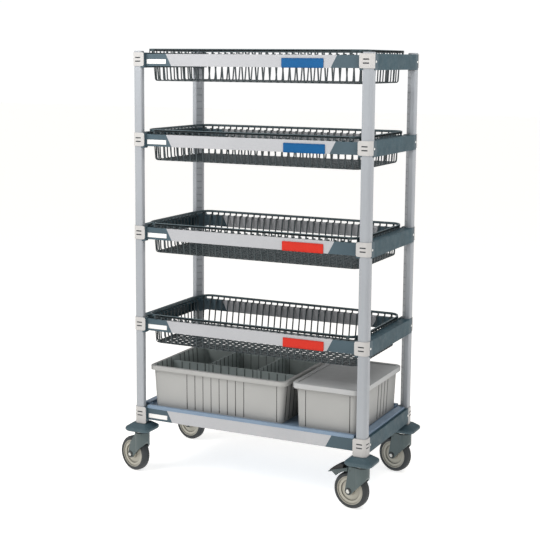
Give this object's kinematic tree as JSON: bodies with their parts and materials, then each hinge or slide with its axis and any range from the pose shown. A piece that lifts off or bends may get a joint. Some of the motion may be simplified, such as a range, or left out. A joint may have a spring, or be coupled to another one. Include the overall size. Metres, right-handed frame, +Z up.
{
  "type": "glassware cart",
  "caption": "Mobile rack for laboratory glassware: notched posts on swivel casters, clamped shelf frames with lift-out slotted baskets, a solid bottom tray and tote boxes.",
  "frame": {"origin": "on the floor, under the middle of the rectangle of the four posts", "axes": "+X along the length to the right end, +Y from the labelled front to the back, +Z up"},
  "size_m": [1.0077, 0.5226, 1.5318],
  "materials": {
    "post_grey": "satin light grey coating",
    "collar_white": "satin near-white moulding",
    "casting_slate": "satin slate moulding",
    "wedge_dark": "matt",
    "rail_grey": "satin light grey",
    "end_rail_slate": "satin slate",
    "screw_steel": "bright zinc",
    "badge_white": "gloss",
    "label_blue": "gloss blue",
    "label_red": "gloss red-orange",
    "basket_charcoal": "matt charcoal",
    "tray_blue": "satin blue-grey",
    "bumper_slate": "matt slate",
    "fork_grey": "satin grey-green",
    "axle_steel": "bright zinc",
    "hub_beige": "satin beige-grey",
    "tyre_dark": "matt dark grey",
    "pedal_grey": "satin",
    "pad_black": "matt black",
    "tote_grey": "satin warm grey",
    "divider_grey": "satin warm grey",
    "lid_grey": "satin warm grey"
  },
  "bodies": {
    "frame": {"post_caps": "post_grey", "post_front_left": "post_grey", "post_front_right": "post_grey", "post_rear_left": "post_grey", "post_rear_right": "post_grey", "post_collars": "collar_white", "corner_castings": "casting_slate", "rail_end_caps": "casting_slate", "post_wedges": "wedge_dark", "shelf_1_front_rail": "rail_grey", "shelf_1_rear_rail": "rail_grey", "shelf_1_end_rails": "end_rail_slate", "shelf_2_front_rail": "rail_grey", "shelf_2_rear_rail": "rail_grey", "shelf_2_end_rails": "end_rail_slate", "shelf_3_front_rail": "rail_grey", "shelf_3_rear_rail": "rail_grey", "shelf_3_end_rails": "end_rail_slate", "shelf_4_front_rail": "rail_grey", "shelf_4_rear_rail": "rail_grey", "shelf_4_end_rails": "end_rail_slate", "shelf_5_front_rail": "rail_grey", "shelf_5_rear_rail": "rail_grey", "shelf_5_end_rails": "end_rail_slate", "rail_screws": "screw_steel", "caster_stems": "screw_steel", "swivel_races": "screw_steel", "badge_plates": "badge_white", "label_holders_blue": "label_blue", "label_holders_red": "label_red", "bumpers": "bumper_slate"},
    "swivel_front_left": {"fork_front_left": "fork_grey", "axle_front_left": "axle_steel"},
    "wheel_front_left": {"hub_front_left": "hub_beige", "tyre_front_left": "tyre_dark"},
    "swivel_front_right": {"fork_front_right": "fork_grey", "axle_front_right": "axle_steel"},
    "wheel_front_right": {"hub_front_right": "hub_beige", "tyre_front_right": "tyre_dark"},
    "pedal_front_right": {"brake_pedal_front_right": "pedal_grey", "brake_pad_front_right": "pad_black"},
    "swivel_rear_left": {"fork_rear_left": "fork_grey", "axle_rear_left": "axle_steel"},
    "wheel_rear_left": {"hub_rear_left": "hub_beige", "tyre_rear_left": "tyre_dark"},
    "swivel_rear_right": {"fork_rear_right": "fork_grey", "axle_rear_right": "axle_steel"},
    "wheel_rear_right": {"hub_rear_right": "hub_beige", "tyre_rear_right": "tyre_dark"},
    "pedal_rear_right": {"brake_pedal_rear_right": "pedal_grey", "brake_pad_rear_right": "pad_black"},
    "basket_1": {"basket_1": "basket_charcoal"},
    "basket_2": {"basket_2": "basket_charcoal"},
    "basket_3": {"basket_3": "basket_charcoal"},
    "basket_4": {"basket_4": "basket_charcoal"},
    "tray": {"bottom_tray": "tray_blue"},
    "open_tote": {"open_tote": "tote_grey"},
    "dividers": {"tote_dividers": "divider_grey"},
    "lidded_tote": {"lidded_tote": "tote_grey"},
    "lid": {"tote_lid": "lid_grey"}
  },
  "joints": [
    {"name": "swivel_front_left", "type": "hinge", "parent": "frame", "child": "swivel_front_left", "pos_m": [-0.4288, -0.2113, 0.146], "axis": [0, 0, 1], "continuous": true},
    {"name": "spin_front_left", "type": "hinge", "parent": "swivel_front_left", "child": "wheel_front_left", "pos_m": [-0.46442, -0.20129, 0.0635], "axis": [-0.2706, -0.9627, 0], "continuous": true},
    {"name": "swivel_front_right", "type": "hinge", "parent": "frame", "child": "swivel_front_right", "pos_m": [0.4288, -0.2113, 0.146], "axis": [0, 0, 1], "continuous": true},
    {"name": "spin_front_right", "type": "hinge", "parent": "swivel_front_right", "child": "wheel_front_right", "pos_m": [0.3922, -0.20589, 0.0635], "axis": [-0.1461, -0.9893, 0], "continuous": true},
    {"name": "brake_front_right", "type": "hinge", "parent": "swivel_front_right", "child": "pedal_front_right", "pos_m": [0.39813, -0.20677, 0.1362], "axis": [0.1461, 0.9893, 0], "range_deg": [0, 15]},
    {"name": "swivel_rear_left", "type": "hinge", "parent": "frame", "child": "swivel_rear_left", "pos_m": [-0.4288, 0.2113, 0.146], "axis": [0, 0, 1], "continuous": true},
    {"name": "spin_rear_left", "type": "hinge", "parent": "swivel_rear_left", "child": "wheel_rear_left", "pos_m": [-0.46524, 0.21773, 0.0635], "axis": [-0.1736, -0.9848, 0], "continuous": true},
    {"name": "swivel_rear_right", "type": "hinge", "parent": "frame", "child": "swivel_rear_right", "pos_m": [0.4288, 0.2113, 0.146], "axis": [0, 0, 1], "continuous": true},
    {"name": "spin_rear_right", "type": "hinge", "parent": "swivel_rear_right", "child": "wheel_rear_right", "pos_m": [0.39281, 0.21987, 0.0635], "axis": [-0.2317, -0.9728, 0], "continuous": true},
    {"name": "brake_rear_right", "type": "hinge", "parent": "swivel_rear_right", "child": "pedal_rear_right", "pos_m": [0.39864, 0.21848, 0.1362], "axis": [0.2317, 0.9728, 0], "range_deg": [0, 15]},
    {"name": "lift_basket_1", "type": "slide", "parent": "frame", "child": "basket_1", "axis": [0, 0, 1], "range_m": [0, 0.12]},
    {"name": "lift_basket_2", "type": "slide", "parent": "frame", "child": "basket_2", "axis": [0, 0, 1], "range_m": [0, 0.12]},
    {"name": "lift_basket_3", "type": "slide", "parent": "frame", "child": "basket_3", "axis": [0, 0, 1], "range_m": [0, 0.12]},
    {"name": "lift_basket_4", "type": "slide", "parent": "frame", "child": "basket_4", "axis": [0, 0, 1], "range_m": [0, 0.12]},
    {"name": "lift_tray", "type": "slide", "parent": "frame", "child": "tray", "axis": [0, 0, 1], "range_m": [0, 0.03]},
    {"name": "lift_open_tote", "type": "slide", "parent": "tray", "child": "open_tote", "axis": [0, 0, 1], "range_m": [0, 0.02]},
    {"name": "lift_dividers", "type": "slide", "parent": "open_tote", "child": "dividers", "axis": [0, 0, 1], "range_m": [0, 0.03]},
    {"name": "lift_lidded_tote", "type": "slide", "parent": "tray", "child": "lidded_tote", "axis": [0, 0, 1], "range_m": [0, 0.02]},
    {"name": "lift_lid", "type": "slide", "parent": "lidded_tote", "child": "lid", "axis": [0, 0, 1], "range_m": [0, 0.02]}
  ]
}
